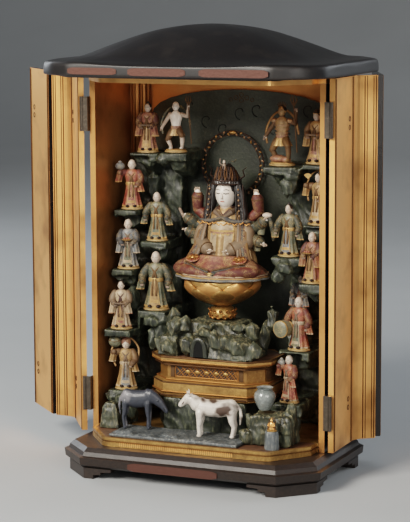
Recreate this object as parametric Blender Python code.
"""A carved home altar: a lacquered cabinet with folding doors, full of small painted wood figures.

Units are metres. Inside this file X runs to the right, Y to the back and Z up, measured from the middle
of the cabinet's front posts on the surface that it stands on. One empty moves the whole altar, so that
the origin of the finished part is under the middle of the open altar's box.
"""

import math

import bmesh
import bpy
from mathutils import Matrix, Vector

for old in list(bpy.data.objects):
    bpy.data.objects.remove(old, do_unlink=True)

# Driving dimensions of the case
GAP = 0.0003
FOOT_HEIGHT = 0.011
BASE_HEIGHT = 0.0195
BASE_HALF_WIDTH = 0.139
BASE_FRONT = -0.076
BASE_BACK = 0.118
BASE_CORNER = 0.034
STEP_HEIGHT = 0.009
STEP_HALF_WIDTH = 0.119
STEP_CLEARANCE = 0.0012
CASE_HALF_WIDTH = 0.127
CASE_DEPTH = 0.105
WALL = 0.006
CANT = 0.017
CASE_CLEAR_HEIGHT = 0.3545
CEILING_THICKNESS = 0.006
ROOF_HALF_WIDTH = 0.153
ROOF_FRONT = -0.093
ROOF_BACK = 0.130
ROOF_CORNER = 0.043
RIM_HEIGHT = 0.0115
DOME_RISE = 0.0385

# Driving dimensions of the doors
DOOR_THICKNESS = 0.0055
DOOR_CLEARANCE = 0.0012
HINGE_OUTSET = 0.0070
HINGE_FORWARD = 0.0045
HINGE_RADIUS = 0.0019
FOLD_RADIUS = 0.0015
HINGE_LENGTH = 0.035
HINGE_PLATE = 0.0009
HINGE_FROM_ENDS = 0.040
SIDE_LEAF = 0.0700
LEAF_RETURN = 0.0240
BEND_ANGLE = 52.0
BEND_REACH = 1.6
MEETING_GAP = 0.0010
FOLD_GAP = 0.0010
LEFT_OPEN = 184.0
RIGHT_OPEN = 219.0
LEFT_FOLD = 41.0
RIGHT_FOLD = 75.0

# Driving dimensions of what stands inside
FIGURE_HEIGHT = 0.0495
PLANK_HEIGHT = 0.0030
LEDGE_THICKNESS = 0.0085
BACKDROP_THICKNESS = 0.004
DAIS_HALF_WIDTH = 0.064
DAIS_FRONT = -0.004
DAIS_BACK = 0.070
DAIS_CORNER = 0.018
DAIS_BOTTOM = 0.0745
DAIS_HEIGHT = 0.0420
MAIN_ROCK_HEIGHT = 0.0330
STEM_HEIGHT = 0.0145
STEM_RADIUS = 0.0140
LOTUS_HEIGHT = 0.0268
LOTUS_RADIUS = 0.0420
DEITY_HEIGHT = 0.1245
DEITY_Y = 0.044
HALO_RADIUS = 0.0330
HALO_THICKNESS = 0.0045
HALO_X = -0.0075
HALO_LEVEL = 0.90
DEITY_LEAN = 0.085
IDOL_HEIGHT = 0.0325
IDOL_WIDTH = 0.0150

# The inner half width that the places inside are laid out for; they spread with the case
LAYOUT_HALF_WIDTH = 0.121

# Heights and places worked out from the driving dimensions
BASE_TOP = FOOT_HEIGHT + BASE_HEIGHT
FLOOR_TOP = BASE_TOP + GAP + STEP_HEIGHT
WALL_BOTTOM = BASE_TOP + GAP
CEILING_BOTTOM = FLOOR_TOP + CASE_CLEAR_HEIGHT
CEILING_TOP = CEILING_BOTTOM + CEILING_THICKNESS
ROOF_BOTTOM = CEILING_TOP + GAP
DOOR_BOTTOM = BASE_TOP + DOOR_CLEARANCE
DOOR_TOP = ROOF_BOTTOM - DOOR_CLEARANCE
HINGE_X = CASE_HALF_WIDTH + HINGE_OUTSET
HINGE_Y = -HINGE_FORWARD
INNER_HALF_WIDTH = CASE_HALF_WIDTH - WALL
INNER_BACK = CASE_DEPTH - WALL
WIDTH_FIT = INNER_HALF_WIDTH / LAYOUT_HALF_WIDTH
SPREAD = Matrix.Diagonal((WIDTH_FIT, 1.0, 1.0, 1.0))
BACKDROP_FRONT = INNER_BACK - GAP - BACKDROP_THICKNESS
CANT_X = CASE_HALF_WIDTH - CANT - WALL * 0.7
CANT_Y = CASE_DEPTH - CANT - WALL * 0.7
DAIS_TOP = DAIS_BOTTOM + DAIS_HEIGHT
MAIN_ROCK_TOP = DAIS_TOP + GAP + MAIN_ROCK_HEIGHT
STEM_TOP = MAIN_ROCK_TOP + GAP + STEM_HEIGHT
LOTUS_TOP = STEM_TOP + GAP + LOTUS_HEIGHT
FRONT_LEAF = (
    HINGE_X
    - SIDE_LEAF * math.cos(math.radians(BEND_ANGLE))
    - LEAF_RETURN
    - FOLD_GAP
    - MEETING_GAP / 2
)


def material(name, colour, roughness, metallic=0.0):
    """A plain finish with one colour."""
    found = bpy.data.materials.get(name)
    if found:
        return found
    made = bpy.data.materials.new(name)
    made.use_nodes = True
    shader = made.node_tree.nodes["Principled BSDF"]
    shader.inputs["Base Color"].default_value = (*colour, 1.0)
    shader.inputs["Roughness"].default_value = roughness
    shader.inputs["Metallic"].default_value = metallic
    return made


LACQUER = material("black_lacquer", (0.02, 0.018, 0.016), 0.25)
GILT = material("gilt_wood", (0.62, 0.38, 0.12), 0.35, 0.8)
ROCK = material("rock_green", (0.07, 0.10, 0.07), 0.7)
ROBE = material("painted_robe", (0.38, 0.27, 0.16), 0.6)
DARK_BRONZE = material("dark_bronze", (0.14, 0.08, 0.06), 0.5, 0.6)
IRON = material("hinge_iron", (0.10, 0.10, 0.10), 0.5, 0.9)
PALE = material("pale_paint", (0.62, 0.58, 0.52), 0.5)
DARK = material("dark_paint", (0.10, 0.10, 0.11), 0.35)


def empty(name, location, parent=None, turn=0.0):
    """An empty that carries other objects; turn is in degrees about Z."""
    made = bpy.data.objects.new(name, None)
    bpy.context.scene.collection.objects.link(made)
    made.location = location
    made.rotation_euler = (0.0, 0.0, math.radians(turn))
    made.parent = parent
    return made


def add_object(name, mesh, finish, parent):
    """Links a finished mesh to the scene as one sub-part."""
    mesh.materials.append(finish)
    made = bpy.data.objects.new(name, mesh)
    bpy.context.scene.collection.objects.link(made)
    made.parent = parent
    return made


def from_bmesh(name, bm, finish, parent):
    """Turns a closed bmesh into one sub-part with its faces pointing out."""
    bmesh.ops.recalc_face_normals(bm, faces=bm.faces)
    mesh = bpy.data.meshes.new(name)
    bm.to_mesh(mesh)
    bm.free()
    return add_object(name, mesh, finish, parent)


def loft(name, rings, finish, parent):
    """A closed body through rings with equal numbers of points, bottom first, capped flat."""
    bm = bmesh.new()
    loops = [[bm.verts.new(point) for point in ring] for ring in rings]
    count = len(loops[0])
    for low, high in zip(loops, loops[1:]):
        for i in range(count):
            j = (i + 1) % count
            bm.faces.new((low[i], low[j], high[j], high[i]))
    bm.faces.new(list(reversed(loops[0])))
    bm.faces.new(loops[-1])
    return from_bmesh(name, bm, finish, parent)


def prism(name, outline, low, high, finish, parent):
    """An outline in plan, raised from low to high."""
    rings = [[(x, y, z) for x, y in outline] for z in (low, high)]
    return loft(name, rings, finish, parent)


def cut_corner_plan(half_width, front, back, corner, back_corner=None):
    """A rectangle in plan with its corners cut off, anticlockwise from the front left."""
    rear = corner if back_corner is None else back_corner
    return [
        (-half_width + corner, front),
        (half_width - corner, front),
        (half_width, front + corner),
        (half_width, back - rear),
        (half_width - rear, back),
        (-half_width + rear, back),
        (-half_width, back - rear),
        (-half_width, front + corner),
    ]


def grown(outline, amount):
    """The outline moved outwards by amount, corner by corner."""
    count = len(outline)
    result = []
    for i in range(count):
        before = Vector(outline[i - 1])
        here = Vector(outline[i])
        after = Vector(outline[(i + 1) % count])
        first = (here - before).normalized()
        second = (after - here).normalized()
        normal_a = Vector((first.y, -first.x))
        normal_b = Vector((second.y, -second.x))
        middle = (normal_a + normal_b).normalized()
        result.append(tuple(here + middle * (amount / max(0.3, middle.dot(normal_a)))))
    return result


# The altar's own frame, moved so that the origin is under the middle of the open altar
altar = empty("altar", (0, 0, 0))


# Solids carved in the round: shells that overlap are fused by a remesh and thinned to few faces
def ball(bm, centre, radii, turn=None):
    """An ellipsoid shell."""
    place = Matrix.Translation(centre) @ (turn or Matrix.Identity(4)) @ Matrix.Diagonal((*radii, 1.0))
    bmesh.ops.create_icosphere(bm, subdivisions=2, radius=1.0, matrix=place)


def limb(bm, start, end, start_radius, end_radius, flat=1.0):
    """A tapered limb with round ends; flat squeezes it from front to back."""
    a, b = Vector(start), Vector(end)
    along = b - a
    turn = along.to_track_quat("Z", "Y").to_matrix().to_4x4()
    squeeze = Matrix.Diagonal((1.0, flat, 1.0, 1.0))
    place = Matrix.Translation((a + b) / 2) @ squeeze @ turn
    bmesh.ops.create_cone(
        bm, cap_ends=True, segments=12, radius1=start_radius, radius2=end_radius, depth=along.length, matrix=place
    )
    ball(bm, a, (start_radius, start_radius * flat, start_radius))
    ball(bm, b, (end_radius, end_radius * flat, end_radius))


def block(bm, low, high, taper=1.0):
    """A box between two corners, whose top is taper times its bottom in plan."""
    centre = (Vector(low) + Vector(high)) / 2
    size = Vector(high) - Vector(low)
    made = bmesh.ops.create_cube(bm, size=1.0)["verts"]
    for vert in made:
        share = taper if vert.co.z > 0 else 1.0
        vert.co = centre + Vector((vert.co.x * size.x * share, vert.co.y * size.y * share, vert.co.z * size.z))


def skirt(bm, rings, sides=16, folds=0, fold_depth=0.0):
    """A robe's hanging cloth: stacked ovals (centre, half width, half depth) with shallow folds."""
    loops = []
    for centre, half_width, half_depth in rings:
        loop = []
        for i in range(sides):
            angle = math.tau * i / sides
            swell = 1.0 + fold_depth * math.cos(folds * angle)
            x = centre[0] + half_width * swell * math.cos(angle)
            y = centre[1] + half_depth * swell * math.sin(angle)
            loop.append(bm.verts.new((x, y, centre[2])))
        loops.append(loop)
    for low, high in zip(loops, loops[1:]):
        for i in range(sides):
            j = (i + 1) % sides
            bm.faces.new((low[i], low[j], high[j], high[i]))
    bm.faces.new(list(reversed(loops[0])))
    bm.faces.new(loops[-1])


def carved(name, bm, voxel, faces, finish, parent, place=None):
    """Fuses the shells of bm into one closed body with about the given number of faces."""
    bmesh.ops.recalc_face_normals(bm, faces=bm.faces)
    if place is not None:
        bm.transform(place)
    mesh = bpy.data.meshes.new(name)
    bm.to_mesh(mesh)
    bm.free()
    made = add_object(name, mesh, finish, parent)
    fuse = made.modifiers.new("fuse", "REMESH")
    fuse.mode = "VOXEL"
    fuse.voxel_size = voxel
    fuse.adaptivity = 0.0
    ease = made.modifiers.new("ease", "SMOOTH")
    ease.factor = 0.5
    ease.iterations = 2
    bpy.context.view_layer.update()
    seen = made.evaluated_get(bpy.context.evaluated_depsgraph_get())
    triangles = sum(len(polygon.vertices) - 2 for polygon in seen.data.polygons)
    thin = made.modifiers.new("thin", "DECIMATE")
    thin.ratio = min(1.0, faces / triangles)
    return made


def trim(made, boxes):
    """Cuts boxes, each a low and a high corner, and the canted back corners out of a carved body."""
    bm = bmesh.new()
    for low, high in boxes:
        block(bm, low, high)
    reach = 0.05
    for side in (-1, 1):
        across = (INNER_HALF_WIDTH + CANT_X) / 2
        deep = (CANT_Y + INNER_BACK) / 2
        place = Vector((side * across, deep, FLOOR_TOP + CASE_CLEAR_HEIGHT / 2))
        place += Vector((side, 1, 0)).normalized() * (reach - GAP)
        turn = Matrix.Rotation(math.radians(45), 4, "Z")
        size = Matrix.Diagonal((reach * 2, reach * 2, CASE_CLEAR_HEIGHT, 1.0))
        bmesh.ops.create_cube(bm, size=1.0, matrix=Matrix.Translation(place) @ turn @ size)
    mesh = bpy.data.meshes.new(made.name + "_cut")
    bm.to_mesh(mesh)
    bm.free()
    cutter = bpy.data.objects.new(made.name + "_cut", mesh)
    bpy.context.scene.collection.objects.link(cutter)
    cutter.parent = altar
    cutter.hide_render = True
    cutter.display_type = "WIRE"
    cut = made.modifiers.new("cut", "BOOLEAN")
    cut.operation = "DIFFERENCE"
    cut.use_self = True
    cut.object = cutter


def trim_box(low, high=None):
    """Boxes that trim carved stone flat: below low, above high, behind the backdrop and at the walls."""
    far = 0.3
    back = BACKDROP_FRONT - GAP
    side = INNER_HALF_WIDTH - GAP
    boxes = [
        ((-far, -far, low - far), (far, far, low)),
        ((-far, back, low - GAP), (far, far, CEILING_BOTTOM)),
        ((-far, -far, low - GAP), (-side, far, CEILING_BOTTOM)),
        ((side, -far, low - GAP), (far, far, CEILING_BOTTOM)),
    ]
    if high is not None:
        boxes.append(((-far, -far, high), (far, far, high + far)))
    return boxes


def base():
    """The lacquered base: a moulded slab with cut corners on four bracket feet."""
    plan = cut_corner_plan(BASE_HALF_WIDTH, BASE_FRONT, BASE_BACK, BASE_CORNER)
    steps = [(0.0, -0.006), (0.16, -0.001), (0.55, 0.0), (0.60, -0.004), (0.80, -0.0055), (1.0, -0.010)]
    rings = [
        [(x, y, FOOT_HEIGHT + BASE_HEIGHT * share) for x, y in grown(plan, inset)] for share, inset in steps
    ]
    loft("base", rings, LACQUER, altar)


def foot(name, side, end):
    """A bracket foot under one cut corner; side is -1 or 1 in X, end is -1 at the front and 1 at the back."""
    edge_y = BASE_FRONT if end < 0 else BASE_BACK
    inset = 0.005
    reach = 0.030
    thickness = 0.015

    def plan(share):
        """The bracket's outline round the corner, with its two arms drawn in by share."""
        x_out = side * (BASE_HALF_WIDTH - inset)
        y_out = edge_y - end * inset
        x_cut = side * (BASE_HALF_WIDTH - BASE_CORNER - inset * 0.4)
        y_cut = edge_y - end * (BASE_CORNER + inset * 0.4)
        x_in = x_cut - side * reach * share
        y_in = y_cut - end * reach * share
        points = [
            (x_in, y_out),
            (x_cut, y_out),
            (x_out, y_cut),
            (x_out, y_in),
            (x_out - side * thickness, y_in),
            (x_out - side * thickness, y_cut - end * thickness * 0.3),
            (x_cut - side * thickness * 0.3, y_out - end * thickness),
            (x_in, y_out - end * thickness),
        ]
        return points if side * end > 0 else list(reversed(points))

    top = FOOT_HEIGHT - GAP
    heights = [(0.0, 0.35), (0.36, 0.35), (0.42, 0.62), (0.66, 0.62), (0.72, 1.0), (1.0, 1.0)]
    rings = [[(x, y, top * h) for x, y in plan(share)] for h, share in heights]
    loft(name, rings, LACQUER, altar)


def rounded(points, reach, steps=4):
    """A line in plan with its bends rounded; reach is how far before a bend the rounding begins."""
    line = [Vector(p) for p in points]
    path = [line[0]]
    for before, here, after in zip(line, line[1:], line[2:]):
        a = here + (before - here).normalized() * reach
        b = here + (after - here).normalized() * reach
        for i in range(steps + 1):
            t = i / steps
            path.append(a.lerp(here, t).lerp(here.lerp(b, t), t))
    path.append(line[-1])
    return path


def offset(path, amount):
    """A line in plan moved sideways by amount."""
    moved = []
    for i, here in enumerate(path):
        before = path[max(0, i - 1)]
        after = path[min(len(path) - 1, i + 1)]
        along = (after - before).normalized()
        moved.append(tuple(here + Vector((along.y, -along.x)) * amount))
    return moved


def inside_doors():
    """The floor's front outline in plan, from the left side round to the right, inside the closed doors."""
    inset = DOOR_THICKNESS / 2 + STEP_CLEARANCE
    path = rounded(leaf_points(1), DOOR_THICKNESS * BEND_REACH)
    inner = offset(path, inset)[:-1]
    line = [Vector((HINGE_X + x, HINGE_Y + y)) for x, y in inner]
    along = (line[1] - line[0]).normalized()
    shoulder = line[0] + along * ((STEP_HALF_WIDTH - line[0].x) / along.x)
    right = [(STEP_HALF_WIDTH, 0.0), (shoulder.x, shoulder.y), *[(p.x, p.y) for p in line[1:]]]
    return [(-x, y) for x, y in right] + right[::-1]


def floor_step():
    """The gilt floor of the cabinet, which stands proud of the posts with cut corners."""
    inner = INNER_HALF_WIDTH - GAP
    back = INNER_BACK - GAP
    outline = [*inside_doors()[1:-1], (STEP_HALF_WIDTH, -GAP), (inner, -GAP)]
    outline += [(inner, back - CANT), (inner - CANT, back), (-inner + CANT, back), (-inner, back - CANT)]
    outline += [(-inner, -GAP), (-STEP_HALF_WIDTH, -GAP)]
    levels = [(0.0, 0.0), (0.50, 0.0), (0.55, 1.0), (0.62, 1.0), (0.67, 0.0), (1.0, 0.0)]
    rings = []
    for share, cut in levels:
        height = BASE_TOP + GAP + STEP_HEIGHT * share
        rings.append([(x * (1 - 0.01 * cut), y * (1 - 0.02 * cut) if y < -GAP else y, height) for x, y in outline])
    loft("floor_step", rings, GILT, altar)


def walls():
    """Two side boards, a back board and two canted corner boards."""
    top = CEILING_BOTTOM - GAP
    side_back = CANT_Y
    for side, name in ((-1, "wall_left"), (1, "wall_right")):
        inner = side * INNER_HALF_WIDTH
        outer = side * CASE_HALF_WIDTH
        outline = [(inner, 0.0), (outer, 0.0), (outer, side_back), (inner, side_back)]
        prism(name, outline if side > 0 else outline[::-1], WALL_BOTTOM, top, GILT, altar)
    half = CANT_X
    outline = [(-half, INNER_BACK), (half, INNER_BACK), (half, CASE_DEPTH), (-half, CASE_DEPTH)]
    prism("wall_back", outline, WALL_BOTTOM, top, GILT, altar)
    for side, name in ((-1, "corner_left"), (1, "corner_right")):
        outline = [
            (side * INNER_HALF_WIDTH, side_back + GAP),
            (side * CASE_HALF_WIDTH, side_back + GAP),
            (side * (half + GAP), CASE_DEPTH),
            (side * (half + GAP), INNER_BACK),
        ]
        prism(name, outline if side > 0 else outline[::-1], WALL_BOTTOM, top, GILT, altar)


def ceiling():
    """The gilt board under the roof, whose front edge shows as a thin fillet."""
    half, back = CASE_HALF_WIDTH, CASE_DEPTH
    outline = [*inside_doors(), (half, 0.0), (half, back - CANT), (half - CANT, back)]
    outline += [(-half + CANT, back), (-half, back - CANT), (-half, 0.0)]
    prism("ceiling", outline, CEILING_BOTTOM, CEILING_TOP, GILT, altar)


def roof_plan(steps=4):
    """The rim in plan: straight sides, and a swelling lobe with a cusp at each cut corner."""
    centre_y = (ROOF_FRONT + ROOF_BACK) / 2
    half_depth = (ROOF_BACK - ROOF_FRONT) / 2
    quarter = []
    start = Vector((ROOF_HALF_WIDTH - ROOF_CORNER, half_depth))
    end = Vector((ROOF_HALF_WIDTH, half_depth - ROOF_CORNER))
    outward = Vector((1, 1)).normalized()
    quarter.append(start * 0.5 + Vector((0, half_depth * 0.5)))
    quarter.append(Vector((start.x - 0.008, start.y)))
    for i in range(steps + 1):
        share = i / steps
        swell = 0.007 * math.sin(math.pi * share) - 0.0035 * math.exp(-((share / 0.12) ** 2))
        quarter.append(start.lerp(end, share) + outward * swell)
    quarter.append(Vector((end.x, end.y * 0.45)))
    full = [(p.x, p.y) for p in quarter]
    full += [(p.x, -p.y) for p in reversed(quarter)]
    full += [(-p.x, -p.y) for p in quarter]
    full += [(-p.x, p.y) for p in reversed(quarter)]
    return [(x, centre_y + y) for x, y in reversed(full)]


def roof():
    """The black roof: a rim that lifts at its corners and a low dome with a flared foot."""
    plan = roof_plan()
    centre_y = (ROOF_FRONT + ROOF_BACK) / 2
    corner = Vector((ROOF_HALF_WIDTH - ROOF_CORNER, ROOF_FRONT - centre_y)).length
    levels = [
        (0.975, 0.0, 0.0),
        (1.0, 0.20, 0.0),
        (1.0, 1.0, 1.0),
        (0.965, 1.18, 0.8),
        (0.885, 1.32, 0.2),
        (0.80, 1.60, 0.0),
        (0.69, 2.30, 0.0),
        (0.55, 3.05, 0.0),
        (0.38, 3.80, 0.0),
        (0.19, 4.22, 0.0),
        (0.04, 4.35, 0.0),
    ]
    top_level = levels[-1][1]
    rings = []
    for size, level, lift in levels:
        if level <= 1.0:
            height = RIM_HEIGHT * level
        else:
            height = RIM_HEIGHT + DOME_RISE * (level - 1.0) / (top_level - 1.0)
        ring = []
        for x, y in plan:
            away = Vector((x, y - centre_y))
            near = math.exp(-(((away.length - corner) / 0.016) ** 2))
            round_to = Vector((ROOF_HALF_WIDTH, (ROOF_BACK - ROOF_FRONT) / 2)).length * 0.74
            blend = min(1.0, max(0.0, (0.95 - size) / 0.35)) * 0.45
            scale = size * (1 - blend) + size * blend * round_to / away.length
            rise = 0.0032 * lift * near
            ring.append((away.x * scale, centre_y + away.y * scale, ROOF_BOTTOM + height + rise))
        rings.append(ring)
    loft("roof", rings, LACQUER, altar)


# The doors: each side is a bent leaf hung on the post and a flat leaf folded from it
def strip(points, thickness, steps=4):
    """A board in plan along points, with its bends rounded."""
    path = rounded(points, thickness * BEND_REACH, steps)
    return offset(path, thickness / 2) + offset(path, -thickness / 2)[::-1]


def leaf_points(side):
    """The bent leaf's line in plan when closed, from its hinge axis: start, bend and free edge."""
    bend = math.radians(BEND_ANGLE)
    slope = Vector((-side * math.cos(bend), -math.sin(bend)))
    start = slope * (HINGE_RADIUS + 0.0016)
    corner = slope * SIDE_LEAF
    end = corner + Vector((-side * LEAF_RETURN, 0.0))
    return start, corner, end


def fold_axis(side):
    """Where the fold's axis is from the hinge axis, when closed: outside the leaf's free edge."""
    end = leaf_points(side)[2]
    return Vector((end.x - side * FOLD_GAP / 2, end.y - DOOR_THICKNESS / 2 - FOLD_RADIUS - GAP, 0.0))


def hinge_heights():
    """The middle heights of the lower and the upper hinge."""
    return DOOR_BOTTOM + HINGE_FROM_ENDS, DOOR_TOP - HINGE_FROM_ENDS


def barrel(bm, centre, radius, length):
    """An upright knuckle."""
    place = Matrix.Translation(centre)
    bmesh.ops.create_cone(bm, cap_ends=True, segments=12, radius1=radius, radius2=radius, depth=length, matrix=place)


def door(side, word, opened, folded):
    """One door: bent leaf, flat leaf and their hinges. Returns its corners in plan at rest."""
    axis = empty(f"{word}_hinge_axis", (side * HINGE_X, HINGE_Y, 0.0), altar, side * opened)
    start, corner, end = leaf_points(side)
    outline = strip([start, corner, end], DOOR_THICKNESS)
    prism(f"{word}_bent_leaf", outline, DOOR_BOTTOM, DOOR_TOP, GILT, axis)
    fold = empty(f"{word}_fold_axis", fold_axis(side), axis, side * folded)
    near = -side * FOLD_GAP / 2
    far = near - side * FRONT_LEAF
    outer = FOLD_RADIUS + GAP
    inner = outer + DOOR_THICKNESS
    flat = [(near, outer), (far, outer), (far, inner), (near, inner)]
    prism(f"{word}_flat_leaf", flat, DOOR_BOTTOM, DOOR_TOP, GILT, fold)
    for level, height in zip(("low", "high"), hinge_heights()):
        post_hinge(side, f"{word}_hinge_{level}", height)
        fold_hinge(f"{word}_fold_hinge_{level}", height, fold_axis(side), axis)
    turn = Matrix.Rotation(math.radians(side * opened), 3, "Z")
    turn_fold = Matrix.Rotation(math.radians(side * (opened + folded)), 3, "Z")
    root = Vector((side * HINGE_X, HINGE_Y, 0.0))
    corners = [root + turn @ Vector((x, y, 0.0)) for x, y in outline]
    corners += [root + turn @ fold_axis(side) + turn_fold @ Vector((x, y, 0.0)) for x, y in flat]
    return corners


def post_hinge(side, name, height):
    """A hinge on a post's outer face: a thin plate and the knuckle that it carries."""
    face = CASE_HALF_WIDTH + GAP
    bm = bmesh.new()
    barrel(bm, (side * HINGE_X, HINGE_Y, height), HINGE_RADIUS, HINGE_LENGTH)
    knuckle = from_bmesh(name, bm, IRON, altar)
    plate = bmesh.new()
    reach = 0.010
    low = (side * face, HINGE_Y, height - HINGE_LENGTH / 2)
    high = (side * (face + HINGE_PLATE), reach, height + HINGE_LENGTH / 2)
    block(plate, [min(a, b) for a, b in zip(low, high)], [max(a, b) for a, b in zip(low, high)])
    neck_low = (side * face, HINGE_Y - HINGE_PLATE / 2, height - HINGE_LENGTH / 2)
    neck_high = (side * HINGE_X, HINGE_Y + HINGE_PLATE / 2, height + HINGE_LENGTH / 2)
    block(plate, [min(a, b) for a, b in zip(neck_low, neck_high)], [max(a, b) for a, b in zip(neck_low, neck_high)])
    bmesh.ops.recalc_face_normals(plate, faces=plate.faces)
    mesh = bpy.data.meshes.new(name + "_plate")
    plate.to_mesh(mesh)
    plate.free()
    cutter = bpy.data.objects.new(name + "_plate", mesh)
    bpy.context.scene.collection.objects.link(cutter)
    cutter.parent = altar
    cutter.hide_render = True
    cutter.display_type = "WIRE"
    join = knuckle.modifiers.new("plate", "BOOLEAN")
    join.operation = "UNION"
    join.use_self = True
    join.object = cutter
    return knuckle


def fold_hinge(name, height, axis_place, parent):
    """A small knuckle on the outside of the fold, fixed to the bent leaf."""
    bm = bmesh.new()
    barrel(bm, (axis_place.x, axis_place.y, height), FOLD_RADIUS, HINGE_LENGTH)
    return from_bmesh(name, bm, IRON, parent)


# What stands inside: where each figure stands, and how it is built
def figure_shells(bm, height, style):
    """The shells of one small robed figure standing at the origin, facing the front."""
    h = height
    block(bm, (-0.24 * h, -0.17 * h, 0.0), (0.24 * h, 0.17 * h, PLANK_HEIGHT))
    lean = style["lean"] * h
    foot_z = PLANK_HEIGHT * 0.8
    skirt(
        bm,
        [
            ((0, 0, foot_z), 0.185 * h, 0.130 * h),
            ((0.2 * lean, 0, 0.16 * h), 0.160 * h, 0.115 * h),
            ((0.4 * lean, 0, 0.36 * h), 0.130 * h, 0.100 * h),
            ((0.6 * lean, 0, 0.50 * h), 0.120 * h, 0.095 * h),
            ((0.8 * lean, 0, 0.66 * h), 0.150 * h, 0.100 * h),
            ((0.9 * lean, 0, 0.76 * h), 0.125 * h, 0.085 * h),
        ],
        16,
        8,
        0.04,
    )
    limb(bm, (lean, 0, 0.74 * h), (lean, -0.005 * h, 0.84 * h), 0.055 * h, 0.050 * h)
    ball(bm, (lean, -0.012 * h, 0.895 * h), (0.078 * h, 0.085 * h, 0.100 * h))
    ball(bm, (lean, 0.014 * h, 0.925 * h), (0.083 * h, 0.083 * h, 0.080 * h))
    for side in (-1, 1):
        reach = style["right_hand"] if side > 0 else style["left_hand"]
        shoulder = Vector((lean + side * 0.145 * h, 0.0, 0.715 * h))
        hand = Vector((lean + side * reach[0] * h, -reach[1] * h, reach[2] * h))
        elbow = (shoulder + hand) / 2 + Vector((side * 0.055 * h, 0.02 * h, -0.035 * h))
        limb(bm, shoulder, elbow, 0.060 * h, 0.058 * h)
        limb(bm, elbow, hand, 0.058 * h, 0.045 * h)
        ball(bm, hand, (0.042 * h, 0.042 * h, 0.045 * h))
        drop = elbow + Vector((side * 0.03 * h, 0.0, -style["sleeve"] * h))
        limb(bm, (elbow + hand) / 2, drop, 0.050 * h, 0.040 * h, 0.7)


STANDING = {"lean": 0.0, "left_hand": (0.12, 0.15, 0.52), "right_hand": (0.12, 0.15, 0.52), "sleeve": 0.20}
WIDE = {"lean": 0.0, "left_hand": (0.22, 0.12, 0.48), "right_hand": (0.24, 0.10, 0.46), "sleeve": 0.14}
RAISED = {"lean": -0.03, "left_hand": (0.30, 0.06, 0.50), "right_hand": (0.28, 0.05, 0.92), "sleeve": 0.10}
CARRYING = {"lean": 0.03, "left_hand": (0.24, 0.08, 0.74), "right_hand": (0.14, 0.16, 0.50), "sleeve": 0.16}

# name, x, y, height of the standing surface, height of the figure, style and turn to the middle
ATTENDANTS = [
    ("attendant_left_1", -0.0900, 0.060, 0.3160, 1.05, STANDING, 8),
    ("attendant_left_2", -0.0520, 0.050, 0.3180, 1.06, RAISED, 0),
    ("attendant_left_3", -0.1010, 0.042, 0.2585, 1.04, CARRYING, 14),
    ("attendant_left_4", -0.0740, 0.045, 0.2265, 1.02, WIDE, 8),
    ("attendant_left_5", -0.1010, 0.034, 0.1975, 1.04, STANDING, 14),
    ("attendant_left_6", -0.0720, 0.037, 0.1560, 1.22, WIDE, 8),
    ("attendant_left_7", -0.1010, 0.016, 0.1375, 1.02, STANDING, 12),
    ("attendant_left_8", -0.0980, 0.018, 0.0745, 1.06, CARRYING, 16),
    ("guardian", 0.0640, 0.052, 0.3080, 1.24, RAISED, -6),
    ("attendant_right_1", 0.0990, 0.052, 0.3110, 1.10, STANDING, -12),
    ("attendant_right_2", 0.1035, 0.046, 0.2510, 1.06, CARRYING, -14),
    ("attendant_right_3", 0.0725, 0.044, 0.2180, 1.08, WIDE, -10),
    ("attendant_right_4", 0.1030, 0.030, 0.1945, 1.04, STANDING, -14),
    ("attendant_right_5", 0.0790, 0.062, 0.1500, 0.96, STANDING, -10),
    ("attendant_right_6", 0.0900, 0.026, 0.1265, 1.10, WIDE, -14),
    ("attendant_right_7", 0.0820, 0.022, 0.0735, 0.98, CARRYING, -22),
]
FIGURE_FACES = 155


def attendants():
    """The small figures on their ledges."""
    for name, x, y, z, size, style, turn in ATTENDANTS:
        bm = bmesh.new()
        figure_shells(bm, FIGURE_HEIGHT * size, style)
        place = Matrix.Translation((x, y, z + GAP)) @ Matrix.Rotation(math.radians(turn), 4, "Z")
        carved(name, bm, 0.0011, FIGURE_FACES, ROBE, altar, SPREAD @ place)


def rock_wall(name, side, faces):
    """The rock face along one side, with a flat-topped ledge under each figure of that side."""
    bm = bmesh.new()
    low = FLOOR_TOP + GAP
    inner = LAYOUT_HALF_WIDTH - GAP - 0.001
    back = BACKDROP_FRONT - GAP - 0.001
    figures = [row for row in ATTENDANTS if row[1] * side > 0]
    top = max(row[3] for row in figures)
    spine_front = back - 0.016
    for row in figures:
        _, x, y, z, size, _, _ = row
        half = 0.30 * FIGURE_HEIGHT * size
        left = max(-inner, x - half)
        right = min(inner, x + half)
        block(bm, (left, y - half * 0.80, z - LEDGE_THICKNESS), (right, back, z + 0.0015))
        limb(bm, (x, y + half * 0.2, z - LEDGE_THICKNESS), (x, back - 0.006, z - 0.022), half * 0.7, half * 0.55)
    edge = side * inner
    near = side * (inner - 0.060)
    block(bm, (min(edge, near), spine_front, low), (max(edge, near), back, top - 0.004))
    rocks = carved(name, bm, 0.0022, faces, ROCK, altar, SPREAD)
    boxes = trim_box(FLOOR_TOP + GAP)
    for row in figures:
        _, x, y, z, size, style, _ = row
        high = FIGURE_HEIGHT * size
        half = high * max(0.27, 0.09 + max(style["left_hand"][0], style["right_hand"][0]))
        left, right = (x - half) * WIDTH_FIT, (x + half) * WIDTH_FIT
        boxes.append(((left, y - high, z), (right, y + high * 0.24, z + high * 1.06)))
    reach = HALO_RADIUS + HALO_THICKNESS
    middle = LOTUS_TOP + DEITY_HEIGHT * HALO_LEVEL
    front = BACKDROP_FRONT - HALO_THICKNESS * 2
    boxes.append(((HALO_X - reach, front, middle - reach), (HALO_X + reach, BACKDROP_FRONT, middle + reach)))
    trim(rocks, boxes)


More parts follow.
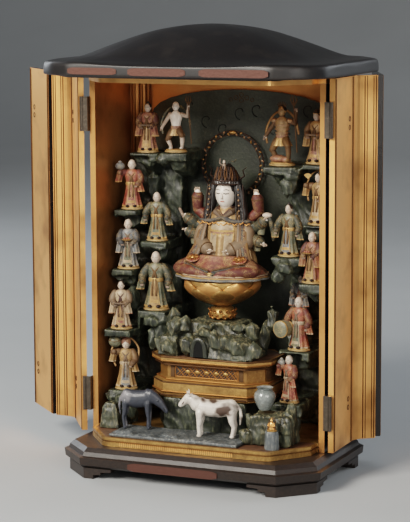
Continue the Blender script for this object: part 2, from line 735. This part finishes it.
def backdrop():
    """The dark carved board with an arched top behind the figures."""
    front = BACKDROP_FRONT
    half = INNER_HALF_WIDTH - CANT - 0.002
    spring = 0.350
    crown = 0.381
    bm = bmesh.new()
    outline = [(-half, FLOOR_TOP + GAP), (half, FLOOR_TOP + GAP)]
    steps = 14
    for i in range(steps + 1):
        angle = math.pi * i / steps
        outline.append((half * math.cos(angle), spring + (crown - spring) * math.sin(angle) ** 0.8))
    front_loop = [bm.verts.new((x, front, z)) for x, z in outline]
    back_loop = [bm.verts.new((x, front + BACKDROP_THICKNESS, z)) for x, z in outline]
    bm.faces.new(front_loop)
    bm.faces.new(list(reversed(back_loop)))
    for i in range(len(outline)):
        j = (i + 1) % len(outline)
        bm.faces.new((front_loop[j], front_loop[i], back_loop[i], back_loop[j]))
    from_bmesh("backdrop", bm, ROCK, altar)


def dais():
    """The gilt pedestal: cornice, waist and plinth with cut corners."""
    plan = cut_corner_plan(DAIS_HALF_WIDTH * WIDTH_FIT, DAIS_FRONT, DAIS_BACK, DAIS_CORNER)
    profile = [
        (0.00, -0.0015),
        (0.14, -0.0015),
        (0.16, 0.0),
        (0.38, 0.0),
        (0.42, -0.0035),
        (0.48, -0.0065),
        (0.78, -0.0065),
        (0.84, -0.0015),
        (0.88, 0.0015),
        (0.98, 0.0015),
        (1.00, 0.0),
    ]
    rings = [[(x, y, DAIS_BOTTOM + DAIS_HEIGHT * h) for x, y in grown(plan, out)] for h, out in profile]
    loft("dais", rings, GILT, altar)


def rock_base():
    """The dark rock that carries the dais."""
    bm = bmesh.new()
    low = FLOOR_TOP + GAP
    top = DAIS_BOTTOM - GAP
    block(bm, (-0.048, -0.004, low - 0.001), (0.046, 0.062, top + 0.001), 0.96)
    for x, y, wide in ((-0.046, 0.012, 0.010), (0.040, 0.012, 0.012), (0.010, 0.008, 0.009)):
        limb(bm, (x, y, low + wide), (x * 0.9, y + 0.01, top - wide * 0.9), wide, wide * 0.8)
    trim(carved("rock_base", bm, 0.0022, 150, ROCK, altar, SPREAD), trim_box(low, top))


def main_rock():
    """The rock island on the dais, with peaks at both ends and caves in front."""
    bm = bmesh.new()
    low = DAIS_TOP + GAP
    top = MAIN_ROCK_TOP
    block(bm, (-0.038, 0.010, low - 0.001), (0.040, 0.060, top), 0.72)
    block(bm, (-0.055, -0.002, low - 0.001), (-0.030, 0.042, low + 0.019), 0.8)
    block(bm, (0.000, -0.006, low - 0.001), (0.052, 0.042, low + 0.021), 0.7)
    for x0, x1, y, z1, wide in (
        (-0.036, -0.047, 0.022, 0.044, 0.009),
        (-0.020, -0.030, 0.012, 0.036, 0.008),
        (0.044, 0.056, 0.040, 0.050, 0.008),
        (0.024, 0.034, 0.016, 0.032, 0.009),
        (-0.010, -0.014, 0.004, 0.020, 0.006),
    ):
        limb(bm, (x0, y, low + wide), (x1, y + 0.006, low + z1 - wide), wide, wide * 0.6)
    block(bm, (-0.014, 0.016, top - 0.006), (0.014, 0.060, top + 0.001))
    carved_rock = carved("main_rock", bm, 0.0018, 370, ROCK, altar, SPREAD)
    seat = STEM_RADIUS * 1.25
    bowl = LOTUS_RADIUS * 1.06
    boxes = trim_box(low)
    boxes.append(((-seat, DEITY_Y - seat, top), (seat, DEITY_Y + seat, top + STEM_HEIGHT * 2)))
    boxes.append(((-bowl, DEITY_Y - bowl, STEM_TOP - 0.001), (bowl, DEITY_Y + bowl, LOTUS_TOP)))
    trim(carved_rock, boxes)


def turned(name, profile, centre, sides, finish, petals=0, depth=0.0):
    """A turned body from (radius, height) pairs, bottom first, with optional petals."""
    rings = []
    for radius, z in profile:
        ring = []
        for i in range(sides):
            angle = math.tau * i / sides
            swell = 1.0 + depth * abs(math.cos(petals * angle / 2)) if petals else 1.0
            ring.append((centre[0] + radius * swell * math.cos(angle), centre[1] + radius * swell * math.sin(angle), z))
        rings.append(ring)
    loft(name, rings, finish, altar)


def lotus():
    """The gilt stem knob and the bowl of petals above it."""
    low = MAIN_ROCK_TOP + GAP
    r = STEM_RADIUS
    knob = [(0.0, 0.55), (0.25, 0.95), (0.5, 1.0), (0.75, 0.85), (1.0, 0.5)]
    turned("lotus_stem", [(r * w, low + STEM_HEIGHT * h) for h, w in knob], (0, DEITY_Y), 16, GILT, 8, 0.12)
    low = STEM_TOP + GAP
    bowl = [(0.0, 0.26), (0.12, 0.50), (0.32, 0.72), (0.60, 0.86), (0.85, 0.93), (1.0, 0.92)]
    profile = [(LOTUS_RADIUS * w, low + LOTUS_HEIGHT * h) for h, w in bowl]
    turned("lotus_seat", profile, (0, DEITY_Y), 24, GILT, 8, 0.08)


def deity():
    """The seated goddess: spread robe, crossed knees, body, head, crown and eight arms."""
    bm = bmesh.new()
    h = DEITY_HEIGHT
    skirt(
        bm,
        [
            ((0, -0.002, 0.000), 0.33 * h, 0.27 * h),
            ((0, -0.002, 0.030 * h), 0.385 * h, 0.31 * h),
            ((0, 0.000, 0.085 * h), 0.35 * h, 0.27 * h),
            ((0, 0.004, 0.160 * h), 0.27 * h, 0.20 * h),
            ((0, 0.006, 0.240 * h), 0.20 * h, 0.16 * h),
        ],
        24,
        8,
        0.03,
    )
    for side in (-1, 1):
        limb(bm, (side * 0.08 * h, 0.0, 0.12 * h), (side * 0.30 * h, -0.16 * h, 0.095 * h), 0.085 * h, 0.075 * h)
        limb(bm, (side * 0.30 * h, -0.16 * h, 0.095 * h), (side * 0.04 * h, -0.25 * h, 0.075 * h), 0.075 * h, 0.05 * h)
    lap = len(bm.verts)
    skirt(
        bm,
        [
            ((0, 0.0, 0.16 * h), 0.150 * h, 0.120 * h),
            ((0, 0.0, 0.30 * h), 0.135 * h, 0.105 * h),
            ((0, 0.0, 0.42 * h), 0.160 * h, 0.105 * h),
            ((0, 0.002, 0.50 * h), 0.175 * h, 0.090 * h),
            ((0, 0.004, 0.55 * h), 0.120 * h, 0.070 * h),
        ],
        16,
        0,
        0.0,
    )
    limb(bm, (0, 0, 0.54 * h), (0, -0.01 * h, 0.62 * h), 0.055 * h, 0.050 * h)
    ball(bm, (0, -0.020 * h, 0.690 * h), (0.088 * h, 0.095 * h, 0.115 * h))
    ball(bm, (0, 0.020 * h, 0.700 * h), (0.105 * h, 0.095 * h, 0.115 * h))
    for side in (-1, 1):
        limb(bm, (side * 0.095 * h, 0.03 * h, 0.70 * h), (side * 0.150 * h, 0.04 * h, 0.52 * h), 0.045 * h, 0.035 * h)
    skirt(
        bm,
        [
            ((0, 0.0, 0.775 * h), 0.100 * h, 0.095 * h),
            ((0, 0.0, 0.850 * h), 0.110 * h, 0.095 * h),
            ((0, 0.0, 0.930 * h), 0.055 * h, 0.050 * h),
            ((0, 0.0, 1.000 * h), 0.025 * h, 0.025 * h),
        ],
        16,
        8,
        0.10,
    )
    hands = ((0.30, 0.02, 0.80), (0.42, 0.06, 0.56), (0.40, 0.08, 0.42), (0.12, 0.24, 0.30))
    elbows = ((0.34, 0.0, 0.62), (0.31, 0.0, 0.48), (0.28, 0.02, 0.38), (0.22, 0.04, 0.32))
    for side in (-1, 1):
        for elbow, hand in zip(elbows, hands):
            a = (side * 0.15 * h, 0.0, 0.47 * h)
            b = (side * elbow[0] * h, -elbow[1] * h, elbow[2] * h)
            c = (side * hand[0] * h, -hand[1] * h, hand[2] * h)
            limb(bm, a, b, 0.055 * h, 0.045 * h)
            limb(bm, b, c, 0.042 * h, 0.026 * h)
            ball(bm, c, (0.032 * h, 0.030 * h, 0.036 * h))
    bm.verts.ensure_lookup_table()
    for vert in bm.verts[lap:]:
        vert.co.y += DEITY_LEAN * h
    place = Matrix.Translation((0, DEITY_Y, LOTUS_TOP + GAP))
    carved("goddess", bm, 0.0016, 800, ROBE, altar, SPREAD @ place)


def halo():
    """The openwork ring behind the head, on a post from the rock."""
    bm = bmesh.new()
    centre_z = LOTUS_TOP + DEITY_HEIGHT * HALO_LEVEL
    y = BACKDROP_FRONT - GAP - HALO_THICKNESS * 1.1 - 0.0004
    steps = 24
    tube = HALO_THICKNESS / 2
    rings = []
    for i in range(steps):
        angle = math.tau * i / steps
        out = Vector((math.cos(angle), 0.0, math.sin(angle)))
        beads = 1.0 + 0.05 * math.cos(14 * angle)
        ring = []
        for k in range(6):
            turn = math.tau * k / 6
            point = out * (HALO_RADIUS + tube * beads * math.cos(turn)) + Vector((0, tube * math.sin(turn), 0))
            ring.append(bm.verts.new(Vector((HALO_X, y, centre_z)) + point))
        rings.append(ring)
    for i in range(steps):
        low, high = rings[i], rings[(i + 1) % steps]
        for k in range(6):
            j = (k + 1) % 6
            bm.faces.new((low[k], low[j], high[j], high[k]))
    from_bmesh("halo", bm, DARK_BRONZE, altar)


def animal(name, x, y, z, length, tall, nose, finish, turn):
    """A small horse or ox on four legs; nose is the head's place from the middle, in lengths."""
    bm = bmesh.new()
    n = length
    ball(bm, (0, 0, 0.52 * n), (0.36 * n, 0.15 * n, 0.16 * n))
    ball(bm, (0.25 * n, 0, 0.54 * n), (0.16 * n, 0.15 * n, 0.17 * n))
    ball(bm, (-0.24 * n, 0, 0.52 * n), (0.16 * n, 0.14 * n, 0.17 * n))
    for fore in (-0.26, 0.27):
        for side in (-0.08, 0.08):
            limb(bm, (fore * n, side * n, 0.44 * n), (fore * 1.05 * n, side * n, 0.20 * n), 0.075 * n, 0.050 * n)
            limb(bm, (fore * 1.05 * n, side * n, 0.20 * n), (fore * n, side * n, 0.045 * n), 0.045 * n, 0.050 * n)
    neck = Vector((-0.34 * n, 0, 0.56 * n))
    head = Vector((nose[0] * n, 0, nose[1] * n))
    limb(bm, neck, head, 0.125 * n, 0.085 * n)
    muzzle = head + Vector((-0.13 * n, 0, -0.13 * n))
    limb(bm, head, muzzle, 0.080 * n, 0.050 * n)
    limb(bm, (0.40 * n, 0, 0.56 * n), (0.45 * n, 0, 0.26 * n), 0.030 * n, 0.036 * n)
    for side in (-1, 1):
        limb(bm, head + Vector((0.02 * n, side * 0.06 * n, 0.05 * n)),
             head + Vector((0.04 * n, side * 0.10 * n, 0.12 * n)), 0.032 * n, 0.018 * n)
    place = Matrix.Translation((x, y, z + GAP)) @ Matrix.Rotation(math.radians(turn), 4, "Z")
    place = place @ Matrix.Diagonal((1.0, 1.0, tall, 1.0))
    carved(name, bm, 0.0010, 360, finish, altar, SPREAD @ place)


GROUND_TOP = 0.0035
IDOL_PLACE = (0.088, -0.0425)


def front_rocks():
    """Flat ground along the front of the floor, a boulder at the left and a crag at the right."""
    low = FLOOR_TOP + GAP
    edge = min(y for _, y in inside_doors()) + 0.0025
    bm = bmesh.new()
    block(bm, (-0.084, edge, low), (0.055, -0.007, low + GROUND_TOP))
    for x, y, wide, tall in (
        (-0.070, -0.044, 0.012, 0.006),
        (-0.046, -0.046, 0.010, 0.005),
        (-0.020, -0.044, 0.013, 0.006),
        (0.004, -0.047, 0.009, 0.005),
        (0.022, -0.045, 0.011, 0.005),
    ):
        block(bm, (x - wide, y - 0.006, low), (x + wide, y + 0.006, low + tall), 0.72)
    trim(carved("ground_rocks", bm, 0.0014, 240, ROCK, altar, SPREAD), trim_box(low))
    bm = bmesh.new()
    block(bm, (-0.1110, -0.020, low - 0.001), (-0.0880, -0.002, low + 0.026), 0.55)
    ball(bm, (-0.100, -0.011, low + 0.012), (0.011, 0.009, 0.013))
    trim(carved("boulder_left", bm, 0.0014, 100, ROCK, altar, SPREAD), trim_box(low))
    bm = bmesh.new()
    block(bm, (0.058, -0.034, low), (0.104, -0.004, low + 0.030), 0.86)
    limb(bm, (0.062, -0.020, low + 0.008), (0.052, -0.016, low + 0.026), 0.007, 0.004)
    limb(bm, (0.096, -0.020, low + 0.020), (0.098, -0.014, low + 0.036), 0.008, 0.005)
    trim(carved("crag_right", bm, 0.0016, 180, ROCK, altar, SPREAD), trim_box(low))


def small_idol():
    """The small gilt figure on its own block, in front of the crag."""
    bm = bmesh.new()
    low = FLOOR_TOP + GAP
    x, y = IDOL_PLACE
    half = IDOL_WIDTH / 2
    waist = low + IDOL_HEIGHT * 0.55
    block(bm, (x - half, y - half * 0.72, low - 0.001), (x + half, y + half * 0.72, waist), 0.88)
    limb(bm, (x, y, waist), (x, y, low + IDOL_HEIGHT * 0.80), half * 0.62, half * 0.40)
    ball(bm, (x, y, low + IDOL_HEIGHT * 0.90), (half * 0.34, half * 0.34, IDOL_HEIGHT * 0.10))
    trim(carved("small_idol", bm, 0.0009, 110, GILT, altar, SPREAD), trim_box(low))


def jar():
    """The grey jar that stands on the crag."""
    low = FLOOR_TOP + GAP + 0.0335
    profile = [(0.0062, 0.0), (0.0090, 0.006), (0.0108, 0.013), (0.0098, 0.018), (0.0072, 0.0205), (0.0088, 0.0225)]
    turned("jar", [(r, low + z) for r, z in profile], (0.071 * WIDTH_FIT, -0.018), 16, PALE)


base()
for foot_name, foot_side, foot_end in (
    ("foot_front_left", -1, -1),
    ("foot_front_right", 1, -1),
    ("foot_back_left", -1, 1),
    ("foot_back_right", 1, 1),
):
    foot(foot_name, foot_side, foot_end)
floor_step()
walls()
ceiling()
roof()
reach_left = door(-1, "left", LEFT_OPEN, LEFT_FOLD)
reach_right = door(1, "right", RIGHT_OPEN, RIGHT_FOLD)
backdrop()
rock_base()
dais()
main_rock()
lotus()
deity()
halo()
attendants()
rock_wall("rocks_left", -1, 400)
rock_wall("rocks_right", 1, 350)
front_rocks()
small_idol()
jar()
animal("horse", -0.069, -0.022, FLOOR_TOP + GAP + GROUND_TOP, 0.0385, 1.42, (-0.60, 0.46), DARK, 190)
animal("ox", 0.024, -0.027, FLOOR_TOP + GAP + GROUND_TOP, 0.056, 1.0, (-0.50, 0.70), PALE, 12)

# The origin goes under the middle of the open altar's box
open_left = min(corner.x for corner in reach_left)
open_right = max(corner.x for corner in reach_right)
open_back = max(ROOF_BACK, max(corner.y for corner in reach_left + reach_right))
altar.location = (-(open_left + max(open_right, ROOF_HALF_WIDTH)) / 2, -(ROOF_FRONT + open_back) / 2, 0.0)
